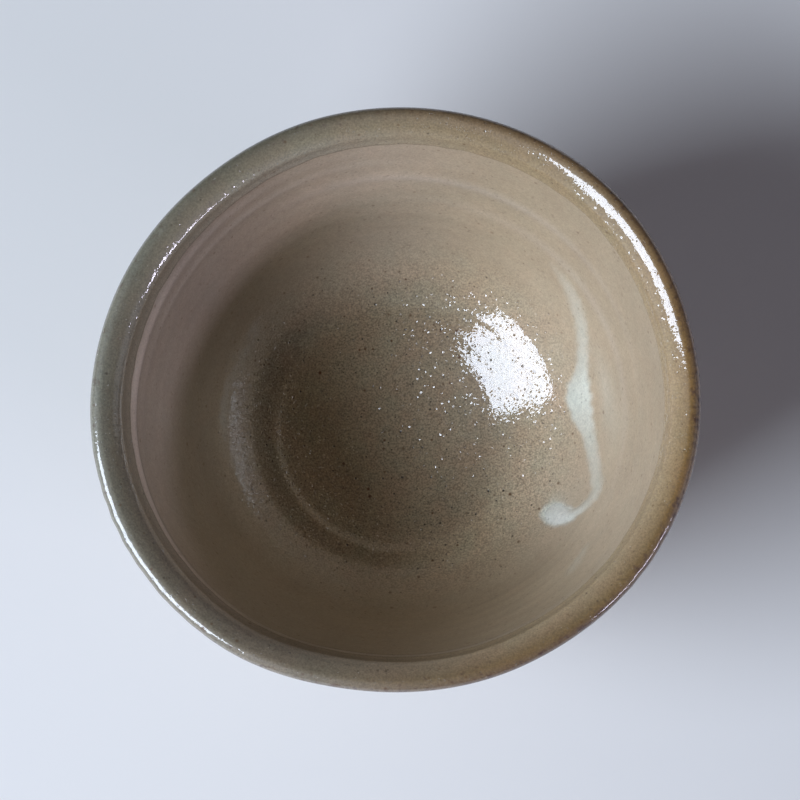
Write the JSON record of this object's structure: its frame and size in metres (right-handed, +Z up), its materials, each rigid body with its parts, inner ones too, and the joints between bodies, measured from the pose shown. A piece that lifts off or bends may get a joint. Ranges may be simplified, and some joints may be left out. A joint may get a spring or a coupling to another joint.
{
  "type": "matcha bowl",
  "caption": "Hand-thrown stoneware tea bowl with a slightly oval mouth, rounded lip, low foot ring, ash glaze inside and out, and a trail of white slip.",
  "frame": {"origin": "on the table under the middle of the foot ring, which is the bottom centre of the bowl's box", "axes": "+Z up along the wheel's axis, out of the mouth; the mouth's long axis lies 12.7 degrees from +X towards +Y"},
  "size_m": [0.1228, 0.1188, 0.076],
  "materials": {
    "stoneware_body": "unglazed toasted stoneware, fine grog, matt",
    "stoneware_foot": "turned unglazed stoneware, matt",
    "poured_glaze": "thin glossy ash glaze over tan clay, fine iron specks",
    "dipped_glaze": "glossy ash glaze, grey-green where thick, amber-brown where thin",
    "white_slip": "glossy pale celadon-white slip"
  },
  "bodies": {
    "root": {"thrown_body": "stoneware_body", "foot_ring": "stoneware_foot", "inner_glaze": "poured_glaze", "outer_glaze": "dipped_glaze", "slip_trail": "white_slip", "slip_streak": "white_slip"}
  },
  "joints": []
}
